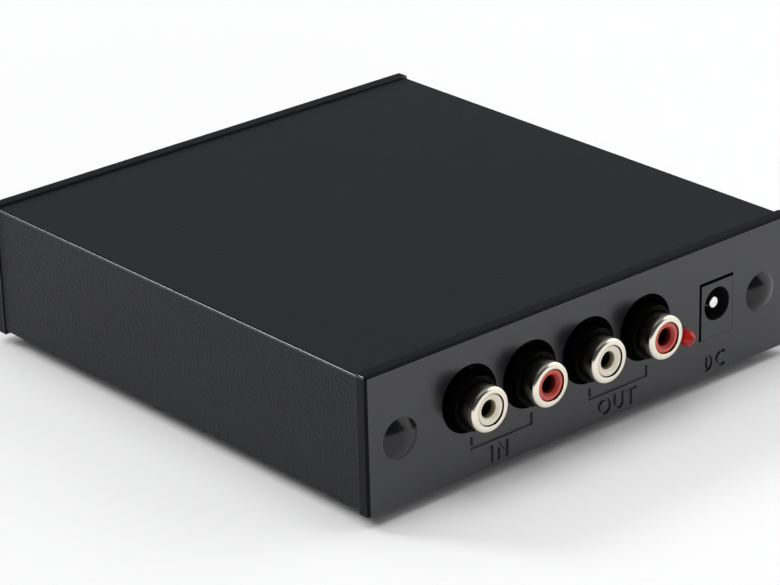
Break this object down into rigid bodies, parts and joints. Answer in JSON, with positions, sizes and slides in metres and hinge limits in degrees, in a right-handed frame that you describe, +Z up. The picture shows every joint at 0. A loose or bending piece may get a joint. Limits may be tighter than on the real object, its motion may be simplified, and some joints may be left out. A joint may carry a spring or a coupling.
{
  "type": "phono preamp",
  "caption": "Flat desktop phono preamp: textured sleeve between smooth end panels, phono sockets, status light and power inlet at the rear.",
  "frame": {"origin": "on the surface it stands on, under the middle of its overall box", "axes": "+Z up, the plain front panel faces -Y, the sockets and power inlet face +Y, +X to the right as seen from the front"},
  "size_m": [0.102, 0.1124, 0.0281],
  "materials": {
    "sleeve_plastic": "fine leather grain, low sheen",
    "panel_plastic": "smooth satin moulding",
    "foot_rubber": "matte black rubber",
    "screw_steel": "zinc plated",
    "board_laminate": "green solder resist",
    "block_plastic": "glossy black moulding",
    "shell_plate": "warm nickel plate",
    "insert_white": "ivory moulding",
    "insert_red": "red moulding",
    "contact_brass": "spring brass",
    "inlet_plastic": "satin moulding",
    "pin_plate": "bright nickel plate",
    "lens_red": "red translucent resin",
    "wire_tin": "tinned wire",
    "chip_epoxy": "black epoxy",
    "can_sleeve": "shrink sleeve",
    "film_box": "cast box",
    "resistor_lacquer": "lacquer",
    "ferrite": "sintered ferrite"
  },
  "bodies": {
    "case": {"sleeve": "sleeve_plastic", "front_panel": "panel_plastic", "rear_panel": "panel_plastic", "foot_1": "foot_rubber", "foot_2": "foot_rubber", "foot_3": "foot_rubber", "foot_4": "foot_rubber", "case_screws": "screw_steel", "circuit_board": "board_laminate", "socket_block": "block_plastic", "socket_shell_1": "shell_plate", "socket_shell_2": "shell_plate", "socket_shell_3": "shell_plate", "socket_shell_4": "shell_plate", "socket_insert_1": "insert_white", "socket_insert_3": "insert_white", "socket_insert_2": "insert_red", "socket_insert_4": "insert_red", "socket_contact_1": "contact_brass", "socket_contact_2": "contact_brass", "socket_contact_3": "contact_brass", "socket_contact_4": "contact_brass", "power_jack_spring_root": "contact_brass", "power_jack_shunt": "contact_brass", "power_jack_body": "inlet_plastic", "power_jack_pin": "pin_plate", "led_lens": "lens_red", "led_leads": "wire_tin", "opamp_legs": "wire_tin", "capacitor_leads": "wire_tin", "resistor_leads": "wire_tin", "diode_leads": "wire_tin", "regulator_legs": "wire_tin", "ferrite_wires": "wire_tin", "opamp_1": "chip_epoxy", "opamp_2": "chip_epoxy", "regulator": "chip_epoxy", "rectifier_diode": "chip_epoxy", "reservoir_cap_1": "can_sleeve", "reservoir_cap_2": "can_sleeve", "coupling_cap_1": "can_sleeve", "coupling_cap_2": "can_sleeve", "coupling_cap_3": "can_sleeve", "coupling_cap_4": "can_sleeve", "eq_cap_1": "film_box", "eq_cap_2": "film_box", "eq_cap_3": "film_box", "eq_cap_4": "film_box", "resistors": "resistor_lacquer", "ferrite_beads": "ferrite"},
    "inlet_blade": {"power_jack_spring": "contact_brass"}
  },
  "joints": [
    {"name": "inlet_blade_bend", "type": "hinge", "parent": "case", "child": "inlet_blade", "pos_m": [-0.0323, 0.04, 0.01185], "axis": [-1, 0, 0], "range_deg": [0, 6], "stiffness_Nm_per_rad": 0.1}
  ]
}
